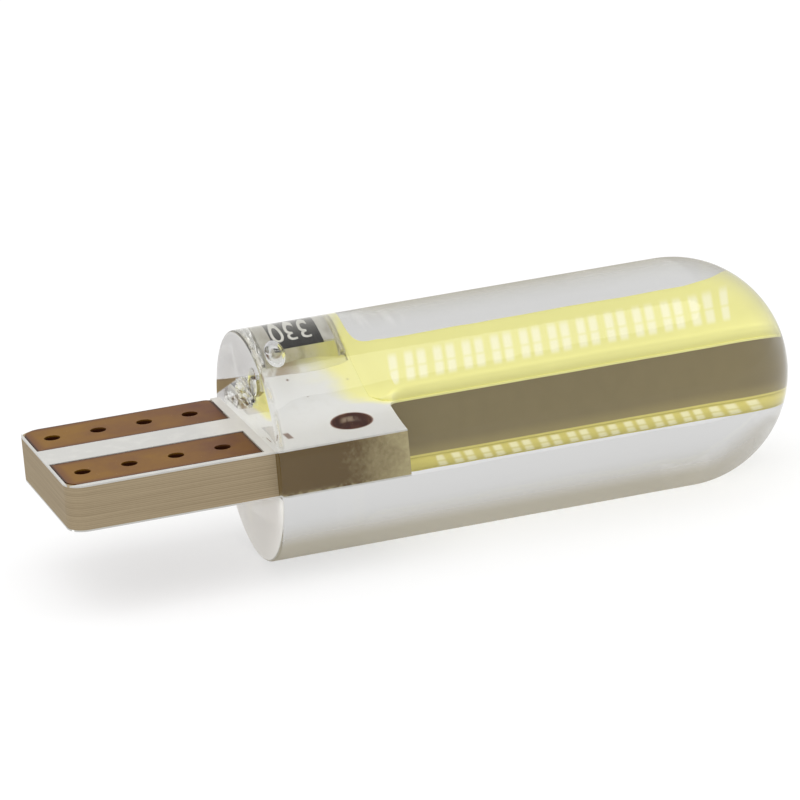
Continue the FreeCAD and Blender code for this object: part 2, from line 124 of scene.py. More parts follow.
# Resistor: its raised figures, and the flux and solder at its foot
RESISTOR_VALUE = "330"
DIGITS_LENGTH = 1.75
DIGITS_HEIGHT = 0.47
DIGITS_MARGIN = 0.22
DIGITS_DEPTH = 0.012
DIGITS_SHIFT = 0.14
FLUX_HEIGHT = 0.28
FLUX_REACH = 0.3
FLUX_OVERRUN = 0.35
SOLDER_HEEL = COAT_LOW[0] - 0.62
SOLDER_TOE = FAR_SHOULDER - 0.65
SOLDER_RADII = (0.28, 0.8, 0.34)
SOLDER_LIFT = 0.1
SOLDER_WAVES = 0.16

# Air and drops of gel, as centre, radii and the height of the surface waves
ROUND_BUBBLE = ((1.75, 1.5, 2.1), (0.42, 0.42, 0.42), 0.0)
HANGING_DROP = ((-0.06, -1.95, 3.42), (0.19, 0.34, 0.62), 0.0)
CRUMPLED_DROP = ((-0.06, -0.6, 2.58), (0.24, 1.15, 0.5), 0.17)

# Stage: floor and camera in millimetres, softbox in metres
FLOOR_HALF = 2500.0
FLOOR_GLOW = 0.6
WORLD_LIGHT = 0.95
SOFTBOX_PLACE = (-0.15, -0.25, 0.85)
SOFTBOX_SIZE = 1.0
SOFTBOX_POWER = 6.5
CAMERA_PLACE = (-55.42, -218.78, 72.22)
CAMERA_RIGHT = (0.9508, -0.29808, -0.08445)
CAMERA_UP = (0.16671, 0.2625, 0.95042)
CAMERA_LENS = 250.71


# Finishes


SOCKET_NAMES = {
    "ior": "IOR",
    "specular": "Specular IOR Level",
    "transmission": "Transmission Weight",
}


class Value:
    """A socket's value; arithmetic on it adds Math nodes to its finish."""

    def __init__(self, finish, socket):
        self.finish = finish
        self.socket = socket

    def maths(self, operation, *others):
        """The named Math operation on this value and the others."""
        return self.finish.node("ShaderNodeMath", {"operation": operation}, dict(enumerate((self,) + others)))

    def swapped(self, operation, other):
        """The named Math operation with this value as the second operand."""
        return self.finish.node("ShaderNodeMath", {"operation": operation}, {0: other, 1: self})

    def __add__(self, other):
        return self.maths("ADD", other)

    __radd__ = __add__

    def __mul__(self, other):
        return self.maths("MULTIPLY", other)

    __rmul__ = __mul__

    def __sub__(self, other):
        return self.maths("SUBTRACT", other)

    def __rsub__(self, other):
        return self.swapped("SUBTRACT", other)

    def __truediv__(self, other):
        return self.maths("DIVIDE", other)

    def __pow__(self, other):
        return self.maths("POWER", other)

    def __mod__(self, other):
        return self.maths("FLOORED_MODULO", other)

    def __abs__(self):
        return self.maths("ABSOLUTE")

    def least(self, other):
        """The smaller of the two."""
        return self.maths("MINIMUM", other)

    def most(self, other):
        """The larger of the two."""
        return self.maths("MAXIMUM", other)

    def past(self, start):
        """How far the value is past the start; 0 before it."""
        return (self - start).most(0.0)

    def short_of(self, end):
        """How far the value is short of the end; 0 after it."""
        return (end - self).most(0.0)

    def ripple(self):
        """A sine of the value in radians, from 0 to 1."""
        return self.maths("SINE") * 0.5 + 0.5

    def rise(self, low, high):
        """A smooth step from 0 at low to 1 at high; the step falls where low is the larger."""
        limits = {0: self, 1: min(low, high), 2: max(low, high), 3: float(low > high), 4: float(low < high)}
        return self.finish.node("ShaderNodeMapRange", {"interpolation_type": "SMOOTHSTEP"}, limits)

    def band(self, low, high, soft):
        """1 between low and high, with a smooth step of the soft width at each end."""
        half = soft / 2
        return self.rise(low - half, low + half) * self.rise(high + half, high - half)


class Finish:
    """A material whose nodes are all made by one method; at, x, y and z are places in millimetres."""

    def __init__(self, name):
        self.material = bpy.data.materials.new(name)
        self.material.use_nodes = True
        self.tree = self.material.node_tree
        self.tree.nodes.clear()
        self.output = self.tree.nodes.new("ShaderNodeOutputMaterial")
        place = self.node("ShaderNodeTexCoord", output="Object")
        self.at = self.node("ShaderNodeVectorMath", {"operation": "SCALE"}, {0: place, "Scale": 1 / MM})
        parts = self.node("ShaderNodeSeparateXYZ", inputs={0: self.at}).socket.node.outputs
        self.x, self.y, self.z = (Value(self, part) for part in parts)

    def node(self, kind, settings=None, inputs=None, output=0):
        """A node of the kind, with its settings, then the values or links of its sockets."""
        made = self.tree.nodes.new(kind)
        for name, setting in (settings or {}).items():
            setattr(made, name, setting)
        for key, given in (inputs or {}).items():
            if isinstance(given, Value):
                self.tree.links.new(given.socket, made.inputs[key])
            else:
                made.inputs[key].default_value = given
        return Value(self, made.outputs[output])

    def noise(self, scale, detail=3.0, stretch=(1.0, 1.0, 1.0)):
        """Noise from 0 to 1 with the scale in cycles per millimetre, finer along the stretched directions."""
        place = self.node("ShaderNodeVectorMath", {"operation": "MULTIPLY"}, {0: self.at, 1: stretch})
        return self.node("ShaderNodeTexNoise", inputs={"Vector": place, "Scale": scale, "Detail": detail})

    def near(self, centre, radius, soft):
        """1 within the radius of a centre (x, y), fading over the soft width."""
        distance = ((self.x - centre[0]) ** 2 + (self.y - centre[1]) ** 2) ** 0.5
        return distance.rise(radius + soft / 2, radius - soft / 2)

    def mix(self, share, first, second):
        """A colour between the first and the second."""
        inputs = {0: share}
        for index, colour in ((6, first), (7, second)):
            inputs[index] = colour if isinstance(colour, Value) else (*colour, 1.0)
        return self.node("ShaderNodeMix", {"data_type": "RGBA"}, inputs, output=2)

    def bump(self, height, strength, depth):
        """A surface normal from a height between 0 and 1, with its depth in millimetres."""
        inputs = {"Strength": strength, "Distance": depth * MM, "Height": height}
        return self.node("ShaderNodeBump", inputs=inputs)

    def surface(self, **sockets):
        """The plain shader, with sockets named by their words joined with underscores."""
        shader = self.node("ShaderNodeBsdfPrincipled")
        for name, given in sockets.items():
            socket = shader.socket.node.inputs[SOCKET_NAMES.get(name, name.replace("_", " ").title())]
            if isinstance(given, Value):
                self.tree.links.new(given.socket, socket)
            else:
                socket.default_value = (*given, 1.0) if isinstance(given, tuple) else given
        return shader

    def finish_with(self, shader, volume=None):
        """Join the shader, and the volume if there is one, to the output."""
        self.tree.links.new(shader.socket, self.output.inputs["Surface"])
        if volume:
            self.tree.links.new(volume.socket, self.output.inputs["Volume"])
        return self.material


def shown(red, green, blue):
    """Linear colour of an 8-bit display colour."""
    return tuple(((part / 255 + 0.055) / 1.055) ** 2.4 for part in (red, green, blue))


def grey(level):
    """Linear grey of a level from 0 to 1."""
    return (level, level, level)


YELLOW = shown(232, 228, 150)
SOFT_YELLOW = shown(226, 222, 140)
# Painted shade: the pour and its stain below the board, the same yellow painted darker.
YELLOW_IN_PAINTED_SHADE = shown(206, 195, 110)
PALE_DIE = shown(242, 239, 205)
BLACK = grey(0.0)


def let_light_in(finish, glass):
    """The glass shader, but open to the light on its way to what lies behind."""
    clear = finish.node("ShaderNodeBsdfTransparent")
    lit = finish.node("ShaderNodeLightPath", output="Is Shadow Ray")
    return finish.node("ShaderNodeMixShader", inputs={0: lit, 1: glass, 2: clear})


def gel_tint_with_painted_shade(finish):
    """Tint of the clear gel: deeper towards crown and foot as painted shade, with pale flow marks over the
    strip's root.
    """
    x, y, z = finish.x, finish.y, finish.z
    foot_painted_shade, crown_painted_shade = (-1.0, -2.8), (1.8, 3.2)
    marks_along, marks_across, marks_up = (4.9, 6.9, 0.8), (-1.8, -0.9), (4.2, 4.6)
    mark_strength = 0.45
    # Painted shade: the tint deepens towards the foot and the crown, darkening the gel's bottom and top
    # edges.
    tint = finish.mix(z.rise(*foot_painted_shade), grey(0.84), (0.71, 0.71, 0.705))
    tint = finish.mix(z.rise(*crown_painted_shade), tint, (0.58, 0.58, 0.577))
    marks = finish.noise(scale=2.6, detail=1.0, stretch=(1.0, 0.1, 0.1)).rise(0.4, 0.6)
    marks = marks * x.band(*marks_along) * z.rise(*marks_up) * y.rise(*marks_across)
    return finish.mix(marks * mark_strength, tint, grey(0.86))


def over_line(finish, point, slope):
    """Height over a line across the flat end, through a point (y, z), that falls towards +Y by the slope."""
    return finish.z - point[1] + (finish.y - point[0]) * slope


def gel_skin(finish):
    """Milky skin of the gel, as its share over the clear gel and its colour.

    The flat end is milky above the board and below it, and clear close over the board; below the board it is
    painted lighter, to offset the shade there. A tan wedge stands on it over the board's far edge: a painted
    refraction of the board's far laminate. Its rim is smeared. The side is beige where it is seen at a slant:
    painted shade along the top and bottom edges.
    """
    x, y, z = finish.x, finish.y, finish.z
    slant = finish.node("ShaderNodeLayerWeight", inputs={"Blend": 0.5}, output="Facing")
    end_face = x.rise(0.06, 0.0)

    over_edge = over_line(finish, point=(5.17, 1.56), slope=0.2975)
    over_foot = over_line(finish, point=(4.83, 1.02), slope=0.4417)
    # Painted refraction: the tan wedge is where the board's far laminate shows through the flat end.
    wedge = end_face * over_edge.rise(0.04, -0.02) * over_foot.rise(-0.04, 0.04) * y.rise(-0.6, 0.2)
    under_board, far_side = z.rise(-0.95, -1.05), y.rise(3.0, 3.6)
    milk = end_face * over_edge.rise(-0.02, 0.06).most(under_board).most(far_side) * END_FACE_MILK

    streaks = finish.noise(scale=1.3, detail=4.0, stretch=(1.0, 1.0, 0.5))
    rim, over_board, near_side = x.band(0.06, 0.26, 0.16), z.rise(1.1, 1.4), y.rise(0.5, -0.5)
    smear_strength = 0.5
    smear = rim * over_board * near_side * streaks.rise(0.35, 0.6) * smear_strength

    # Tan of the painted refraction, darker along its upper edge.
    tan = finish.mix(over_edge.rise(-0.14, 0.0), (0.285, 0.22, 0.125), (0.25, 0.19, 0.12))
    # Below the board the flat end is painted lighter, to offset the shade under the board.
    end_colour = finish.mix(z.rise(-0.5, -1.5), grey(0.67), (0.97, 0.955, 0.915))
    end_colour = finish.mix(wedge, end_colour, tan)
    # Painted shade: beige at a slant darkens the top and bottom edges, more at the crown.
    slant_shade_colour = finish.mix(z.rise(1.0, 0.0), (0.32, 0.305, 0.25), (0.41, 0.375, 0.29))
    smear_yellow = streaks.rise(0.5, 0.62) * z.rise(4.2, 3.4)
    smear_colour = finish.mix(smear_yellow, (0.68, 0.65, 0.57), (0.64, 0.56, 0.28))
    colour = finish.mix(smear, finish.mix(end_face, slant_shade_colour, end_colour), smear_colour)

    past_block, over_block = x.rise(4.5, 6.5), 0.25
    dome_fade, dome_foot_fade = (GEL_STRAIGHT - 2.0, GEL_HIGH[0]), (GEL_STRAIGHT - 1.0, GEL_HIGH[0])
    along = past_block * (1 - over_block) + over_block - x.rise(*dome_fade) * 0.5
    # Shares of that painted edge shade at the crown and the foot.
    crown = slant.rise(0.40, 0.95) * z.rise(0.5, 1.5) * along
    foot = slant.rise(0.28, 0.62) * z.rise(-1.0, -2.0) * (1 - x.rise(*dome_foot_fade) * 0.85)
    slant_shade_strength = 0.85
    side = crown.most(foot) * slant_shade_strength * (1 - end_face)
    return side.most(milk).most(smear).most(wedge), colour


def make_gel():
    """Clear gel: bends light as silicone does, greys it, and carries a thin milky skin; its tint and skin
    carry painted shade along the edges and a painted refraction on the flat end.
    """
    finish = Finish("clear_gel_moulding")
    waves = finish.noise(scale=0.35, detail=1.0)
    glass = finish.surface(
        base_color=gel_tint_with_painted_shade(finish),
        roughness=0.015,
        ior=GEL_INDEX,
        transmission=1.0,
        normal=finish.bump(waves, strength=0.1, depth=0.2),
    )
    share, colour = gel_skin(finish)
    skin = finish.surface(base_color=colour, roughness=0.4, specular=0.0)
    body = finish.node("ShaderNodeMixShader", inputs={0: share, 1: glass, 2: skin})
    depth = {"Color": (0.5, 0.5, 0.49, 1.0), "Density": 20.0}
    greying = finish.node("ShaderNodeVolumeAbsorption", inputs=depth)
    return finish.finish_with(let_light_in(finish, body), greying)


def make_bubble():
    """Air in the gel: light leaves the gel and enters it again at a small round wall."""
    finish = Finish("air_in_gel")
    haze = finish.noise(scale=3.0)
    glass = finish.surface(
        base_color=finish.mix(haze, (0.96, 0.96, 0.95), grey(1.0)),
        roughness=0.0,
        ior=1 / GEL_INDEX,
        transmission=1.0,
    )
    return finish.finish_with(let_light_in(finish, glass))


def make_drop():
    """A drop of the same gel, hanging on the flat end."""
    finish = Finish("gel_drop")
    haze = finish.noise(scale=3.0)
    glass = finish.surface(
        base_color=finish.mix(haze, (0.90, 0.89, 0.84), (0.98, 0.98, 0.96)),
        roughness=0.02,
        ior=GEL_INDEX,
        transmission=1.0,
        normal=finish.bump(haze, strength=0.3, depth=0.05),
    )
    return finish.finish_with(let_light_in(finish, glass))


def bare_laminate(finish):
    """Colour of the dry tongue with its level layers, dust and gilt lower arris, and the layers' height."""
    radians_per_mm, wander = 78.0, 9.0
    uneven = finish.noise(scale=1.0, detail=1.0, stretch=(0.12, 0.12, 8.0))
    layers = (finish.z * radians_per_mm + uneven * wander).ripple()
    dust = finish.noise(scale=5.0, detail=2.0)
    share = layers * 0.5 + uneven.rise(0.3, 0.7) * 0.3 + dust * 0.2
    colour = finish.mix(share, shown(131, 116, 92), shown(154, 139, 113))
    gilt = finish.z.rise(-0.90, -0.95) * finish.x.rise(-2.2, -1.8)
    return finish.mix(gilt * 0.8, colour, shown(150, 110, 50)), layers


def wet_laminate(finish):
    """Colour of the board in the gel: a brown block, lighter towards the shoulder, and an olive strip."""
    x, z = finish.x, finish.z
    blotches = finish.noise(scale=0.9, detail=6.0)
    grit = finish.noise(scale=5.0, detail=4.0)
    lighter = x * 0.33 + blotches * 0.8 + grit * 0.7 - 1.74
    lower_arris = z.rise(-0.72, -0.98) * grit.rise(0.4, 0.6) * 0.8
    block = finish.mix(lighter.most(lower_arris).least(1.0), shown(101, 81, 45), shown(182, 170, 128))
    strip = finish.mix(finish.noise(scale=1.6), shown(136, 123, 88), shown(143, 130, 94))
    strip = finish.mix(z.rise(-0.5, -0.95), strip, shown(160, 146, 100))
    return finish.mix(x.rise(NEAR_SHOULDER - 0.02, NEAR_SHOULDER + 0.02), block, strip)


def make_laminate():
    """Sawn glass-fibre laminate, dry on the tongue and wetted brown by the gel."""
    finish = Finish("sawn_laminate")
    dry, layers = bare_laminate(finish)
    outside = finish.x.rise(0.0, -0.04)
    shader = finish.surface(
        base_color=finish.mix(outside, wet_laminate(finish), dry),
        roughness=0.65,
        specular=0.1,
        normal=finish.bump(layers * outside, strength=0.15, depth=0.01),
    )
    return finish.finish_with(shader)


def poured(finish):
    """How far the yellow pour covers a place: the strip and its root, with a feathered edge on the block.

    The edge reaches furthest towards the tongue under the resistor. From there it draws back quickly on the
    far side, slowly over the middle, and sharply along the strip's near side.
    """
    x, y = finish.x, finish.y
    wander = finish.noise(scale=1.1) * 0.9 - 0.45
    furthest, middle, near_side = 2.75, 0.06, -0.5
    edge = 3.65 + 0.35 * y.short_of(middle) + 0.15 * y.short_of(furthest) + 1.5 * y.past(furthest)
    edge = edge + 2.0 * y.short_of(near_side)
    over_block = (x - edge + wander).rise(-0.55, 0.75)
    patches = finish.noise(scale=1.7).rise(0.3, 0.7)
    under_resistor = patches * y.band(1.5, 2.3, 0.6) * x.rise(2.0, 4.4) * 0.6
    return over_block.most(under_resistor)


BROWN = shown(105, 70, 45)
SPECKS = (
    ((2.1, 1.85), 0.06),
    ((0.35, -2.2), 0.05),
    ((2.6, 0.6), 0.03),
    ((4.6, 1.3), 0.03),
)
SPECK_EDGE = 0.08
MARK_STRENGTH = 0.85


def handling_marks_and_foot_shadow(finish, colour):
    """The colour with brown specks, a scratch, a painted shadow line at the resistor's foot and a ring at the
    hole.
    """
    x, y = finish.x, finish.y
    for centre, radius in SPECKS:
        colour = finish.mix(finish.near(centre, radius, SPECK_EDGE) * MARK_STRENGTH, colour, BROWN)
    scratch = y.band(-3.0, -2.3, 0.2) * (x + (y + 2.6) * 0.12).band(0.80, 1.04, 0.08)
    colour = finish.mix(scratch * MARK_STRENGTH, colour, BROWN)
    # Painted shadow: a dark line along the resistor's near foot.
    line = y.band(2.18, 2.32, 0.12) * x.band(1.45, 3.1, 0.6)
    colour = finish.mix(line * 0.55, colour, shown(95, 85, 62))
    ring = finish.near(EYELET_CENTRE, EYELET_RADIUS + 0.03, 0.06)
    return finish.mix(ring * 0.8, colour, shown(150, 128, 110))


def make_lacquer():
    """White lacquer film, stained yellow where the pour ran over it and marked where it was handled, with a
    painted shadow line at the resistor's foot; the stain is painted darker below the board as painted shade
    and glows as painted light.
    """
    finish = Finish("white_lacquer_film")
    x, y, z = finish.x, finish.y, finish.z
    clouds = finish.noise(scale=1.8, detail=5.0)
    outside = finish.mix(x.rise(-2.5, -1.0), shown(175, 174, 170), shown(188, 185, 179))
    inside = finish.mix(y.rise(0.5, -3.0), shown(231, 231, 229), shown(209, 208, 204))
    white = finish.mix(x.rise(-0.02, 0.02), outside, inside)
    white = finish.mix(clouds.rise(0.45, 0.8) * 0.25, white, shown(205, 203, 196))
    cover = poured(finish)
    # Below the board the stain is painted darker yellow, as painted shade.
    stained = finish.mix(cover, white, finish.mix(z.rise(0.0, -0.1), YELLOW, YELLOW_IN_PAINTED_SHADE))
    colour = handling_marks_and_foot_shadow(finish, stained)
    shader = finish.surface(
        base_color=colour,
        roughness=0.38,
        specular=0.25,
        # Painted light: the stained part glows.
        emission_color=finish.mix(cover * POUR_PAINTED_GLOW, BLACK, colour),
        emission_strength=1.0,
        normal=finish.bump(clouds, strength=0.1, depth=0.03),
    )
    return finish.finish_with(shader)


def make_copper():
    """Tarnished plated copper: golden in the middle, purplish to its dark rim, nearly black in the holes; the
    dark rim and the black in the holes are painted shade.
    """
    finish = Finish("tarnished_copper_pad")
    x, y, z = finish.x, finish.y, finish.z
    across = abs(y - FAR_LOW[1]).least(abs(y - FAR_HIGH[1]))
    across = across.least(abs(y - NEAR_LOW[1])).least(abs(y - NEAR_PAD_FAR))
    inset = across.least(x - FAR_LOW[0]).least(PAD_END - x)
    clouds = finish.noise(scale=0.7, detail=5.0)
    towards_body = (x + 4.5) * 0.09
    purplish = (clouds * 1.5 + towards_body - 0.38).most(inset.rise(0.55, 0.1) * 0.7)
    colour = finish.mix(purplish, shown(125, 87, 20), shown(97, 58, 37))
    # Painted shade: the dark rim along the pad's edges, where it meets the lacquer.
    colour = finish.mix(inset.rise(0.12, 0.03) * 0.75, colour, shown(50, 32, 32))
    flecks = finish.noise(scale=7.0, detail=2.0).rise(0.72, 0.78)
    colour = finish.mix(flecks * 0.5, colour, shown(190, 165, 130))
    # Painted shade: near black on the walls inside the holes.
    hole_painted_shade = abs(z).rise(0.96, 0.88)
    colour = finish.mix(hole_painted_shade, colour, shown(64, 30, 14))
    shader = finish.surface(
        base_color=colour,
        roughness=0.5,
        metallic=0.5,
        specular=0.1,
        normal=finish.bump(clouds, strength=0.15, depth=0.03),
    )
    return finish.finish_with(shader)


def make_plated():
    """Dull plated wall of the larger hole, with a paler streak of painted light round its far side near the
    top.
    """
    finish = Finish("plated_hole_wall")
    x, y, z = finish.x, finish.y, finish.z
    streaks = finish.noise(scale=2.2, detail=4.0, stretch=(1.0, 1.0, 0.6))
    colour = finish.mix(streaks.rise(0.4, 0.7), shown(88, 36, 12), shown(122, 72, 38))
    near_top = z.band(0.72, 0.88, 0.1)
    middle = x.band(EYELET_CENTRE[0] - 0.3, EYELET_CENTRE[0] + 0.45, 0.3)
    far_side = y.rise(EYELET_CENTRE[1], EYELET_HIGH[1])
    # Painted light: the paler streak where light falls on the far wall near the top.
    pale = near_top * middle * far_side * streaks.rise(0.3, 0.5)
    colour = finish.mix(pale, colour, shown(205, 180, 150))
    return finish.finish_with(finish.surface(base_color=colour, roughness=0.5, metallic=0.2))


def glimmering_dies(finish, depth, faces, below):
    """Share of the dies' pale glimmer: soft columns in pairs, of two rows, on the faces and the lower flank.

    The columns lean as the pour bends them, and stand closer together under the dome.
    """
    x, y = finish.x, finish.y
    lean = faces * (y - 0.4) * 0.237 + (1 - faces) * (depth * 0.6 - 0.15)
    place = x - lean + x.past(CROWDED_FROM) ** 2 * 0.26 * faces
    step = (place - FIRST_COLUMN) % COLUMN_PITCH
    off_column = step.least(abs(step - (COLUMN_PITCH - PAIR_STEP))).least(COLUMN_PITCH - step)
    column = off_column.rise(DIE_WIDTH / 2 + 0.1, DIE_WIDTH / 2 - 0.08)
    column = column * place.band(DIES_LOW[0] - 0.15, DIES_HIGH[0] + 0.15, 0.1)
    off_row = abs(y - 0.36 - (x - FIRST_COLUMN) * 0.0208)
    face_rows = off_row.rise(1.2, 0.7) * (0.45 + 0.55 * off_row.rise(0.0, 0.16)) * faces
    flank = below * y.rise(-0.6, -0.75) * (1 - faces) * x.rise(7.5, 7.6)
    flank_rows = depth.band(0.06, 0.44, 0.06) * (0.5 + 0.5 * abs(depth - 0.25).rise(0.01, 0.05))
    return column * face_rows.most(flank * flank_rows * 0.75) * 0.85


def make_phosphor():
    """Yellow phosphor pour with the paler dies glimmering through it, two to a column; painted darker yellow
    below the board as painted shade, and glowing as painted light.
    """
    finish = Finish("phosphor_silicone")
    y, z = finish.y, finish.z
    depth = abs(z) - BOARD_TOP
    faces = depth.rise(0.40, 0.44)
    below = z.rise(0.0, -0.1)
    clouds = finish.noise(scale=0.9)
    # Below the board the pour is painted darker yellow, as painted shade.
    base = finish.mix(below, finish.mix(clouds * 0.4, YELLOW, SOFT_YELLOW), YELLOW_IN_PAINTED_SHADE)
    colour = finish.mix(glimmering_dies(finish, depth, faces, below), base, PALE_DIE)
    colour = finish.mix(poured(finish), shown(226, 226, 225), colour)
    # Painted light: the near flank of the upper pour glows more, to look as bright as its top.
    flank_painted_light = y.rise(-0.75, -0.95) * (1 - below) * (depth.rise(0.42, 0.30) * 0.16 + 0.02)
    shader = finish.surface(
        base_color=colour,
        roughness=0.6,
        specular=0.0,
        # Painted light: the pour glows, its near upper flank more.
        emission_color=finish.mix(flank_painted_light + POUR_PAINTED_GLOW, BLACK, colour),
        emission_strength=1.0,
        normal=finish.bump(clouds, strength=0.1, depth=0.1),
    )
    return finish.finish_with(shader)


def make_ceramic():
    """White ceramic of the resistor, smeared grey and brown, and yellow towards the pour."""
    finish = Finish("resistor_ceramic_white")
    x = finish.x
    smear = finish.noise(scale=1.4, detail=4.0)
    share = smear * 1.2 + (x - CERAMIC_LOW[0]) * 0.16 - 0.35
    colour = finish.mix(share, shown(218, 215, 198), shown(196, 186, 134))
    dirt = finish.noise(scale=2.2, detail=5.0).rise(0.5, 0.68)
    colour = finish.mix(dirt * 0.45, colour, shown(142, 130, 100))
    stained = (x + smear * 1.2 - 0.6).rise(2.7, 4.4)
    colour = finish.mix(stained * 0.8, colour, SOFT_YELLOW)
    shader = finish.surface(
        base_color=colour, roughness=0.6, specular=0.1, normal=finish.bump(smear, strength=0.2, depth=0.03)
    )
    return finish.finish_with(shader)


def make_cap():
    """Tinned end cap, its sides stained by the pour at the dome's end."""
    finish = Finish("tinned_end_cap")
    clouds = finish.noise(scale=1.5, detail=4.0)
    colour = finish.mix(clouds.rise(0.25, 0.75), shown(168, 162, 146), shown(206, 204, 194))
    sides = abs(finish.z).rise(COAT_HIGH[2] - 0.04, COAT_HIGH[2] - 0.2)
    stained = (finish.x + clouds * 0.6 - 0.3).rise(3.6, 4.3) * sides
    shader = finish.surface(
        base_color=finish.mix(stained * 0.9, colour, shown(216, 211, 142)),
        roughness=0.4 + stained * 0.3,
        metallic=0.3 - stained * 0.3,
        normal=finish.bump(clouds, strength=0.2, depth=0.02),
    )
    return finish.finish_with(shader)


def make_plain(name, dark, light, roughness, specular=0.5):
    """A finish of fine cloudiness between two colours."""
    finish = Finish(name)
    clouds = finish.noise(scale=3.0, detail=4.0)
    shader = finish.surface(
        base_color=finish.mix(clouds.rise(0.25, 0.75), dark, light),
        roughness=roughness,
        specular=specular,
        normal=finish.bump(clouds, strength=0.2, depth=0.02),
    )
    return finish.finish_with(shader)


def make_solder():
    """Bright crumpled solder with dull flux in its creases, stained by the pour at the dome's end."""
    finish = Finish("solder_joint_metal")
    creases = finish.noise(scale=2.5, detail=5.0)
    colour = finish.mix(creases.rise(0.5, 0.3), shown(238, 238, 234), shown(160, 148, 120))
    stained = finish.x.rise(4.2, 4.6)
    shader = finish.surface(
        base_color=finish.mix(stained * 0.85, colour, shown(196, 190, 152)),
        roughness=0.25 + stained * 0.35,
        metallic=0.7 - stained * 0.7,
        normal=finish.bump(creases, strength=0.6, depth=0.15),
    )
    return finish.finish_with(shader)


def make_flux():
    """Flux and gel drawn up the resistor's foot: brown at the resistor, thinning to the lacquer's white."""
    finish = Finish("flux_fillet_brown")
    x, z = finish.x, finish.z
    clouds = finish.noise(scale=1.6, detail=4.0)
    height = (abs(z) - BOARD_TOP) / FLUX_HEIGHT + clouds * 0.8 - 0.4
    colour = finish.mix(height.rise(0.0, 0.8), shown(222, 221, 216), shown(184, 178, 142))
    stained = (x + clouds * 1.2 - 0.6).rise(2.5, 4.2)
    colour = finish.mix(stained * 0.85, colour, YELLOW)
    burnt = clouds.rise(0.45, 0.62) * x.rise(3.2, 2.0)
    colour = finish.mix(burnt * 0.75, colour, shown(150, 128, 92))
    shader = finish.surface(
        base_color=colour, roughness=0.6, specular=0.0, normal=finish.bump(clouds, strength=0.3, depth=0.05)
    )
    return finish.finish_with(shader)


# Surfaces


def add_piece(name, points, faces, finish, smooth=True):
    """A mesh piece from points in millimetres and faces, with its finish, on the bulb's one body."""
    mesh = bpy.data.meshes.new(name)
    mesh.from_pydata((np.asarray(points) * MM).tolist(), [], faces)
    mesh.polygons.foreach_set("use_smooth", np.full(len(mesh.polygons), smooth))
    mesh.materials.append(finish)
    piece = bpy.data.objects.new(name, mesh)
    bpy.context.scene.collection.objects.link(piece)
    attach(piece, "root")
    return piece


def lofted(name, rings, finish):
    """A closed surface through rings of points, each joined to the next, with a fan in each end ring.

    The faces turn outward: where the sum of the corner products, which is six times the volume, is below 0,
    the order of every face is reversed.
    """
    count, around = rings.shape[:2]
    points = np.vstack([rings.reshape(-1, 3), rings[0].mean(0), rings[-1].mean(0)])
    ring, step = np.meshgrid(np.arange(count - 1), np.arange(around), indexing="ij")
    near, next_near = ring * around + step, ring * around + (step + 1) % around
    quads = np.stack([near, next_near, next_near + around, near + around], -1).reshape(-1, 4)
    first = np.arange(around)
    following = (first + 1) % around
    last = (count - 1) * around
    starts = np.stack([np.full(around, count * around), following, first], -1)
    ends = np.stack([np.full(around, count * around + 1), last + first, last + following], -1)
    triangles = np.vstack([quads[:, :3], quads[:, [0, 2, 3]], starts, ends])
    corners = points[triangles]
    volume = np.einsum("ij,ij->", corners[:, 0], np.cross(corners[:, 1], corners[:, 2]))
    faces = quads.tolist() + starts.tolist() + ends.tolist()
    if volume < 0:
        faces = [face[::-1] for face in faces]
    return add_piece(name, points, faces, finish)


def circle_of(steps):
    """Angles once round, without the repeated last one."""
    return np.linspace(0, 2 * np.pi, steps, endpoint=False)


def along_rings(x, around):
    """Each ring's place along X, repeated for the points round it."""
    return np.repeat(x[:, None], around, 1)


def make_gel_piece(finish):
    """Gel body: each profile point (x, r) becomes a ring y = r cos t, z = r sin t.

    The profile is the flat end, a quarter-round rim, the straight side and a quarter-circle dome.
    """
    radius, rim = GEL_RADIUS - GEL_INSET, GEL_RIM_ROUND
    face_steps, rim_steps, side_steps, dome_steps, around = 8, 9, 24, 48, 192
    face = np.stack([np.zeros(face_steps), np.linspace(0.01, radius - rim, face_steps)], -1)
    turn = np.linspace(0, np.pi / 2, rim_steps)[1:]
    bend = np.stack([rim - rim * np.cos(turn), radius - rim + rim * np.sin(turn)], -1)
    side = np.stack([np.linspace(rim, GEL_STRAIGHT, side_steps)[1:], np.full(side_steps - 1, radius)], -1)
    arc = np.linspace(0, np.pi / 2, dome_steps)[1:-1]
    dome = np.stack([GEL_STRAIGHT + radius * np.sin(arc), radius * np.cos(arc)], -1)
    x, r = np.vstack([face, bend, side, dome]).T
    t = circle_of(around)
    rings = np.stack([along_rings(x, around), np.outer(r, np.cos(t)), np.outer(r, np.sin(t))], -1)
    return lofted("gel_moulding", rings, finish)


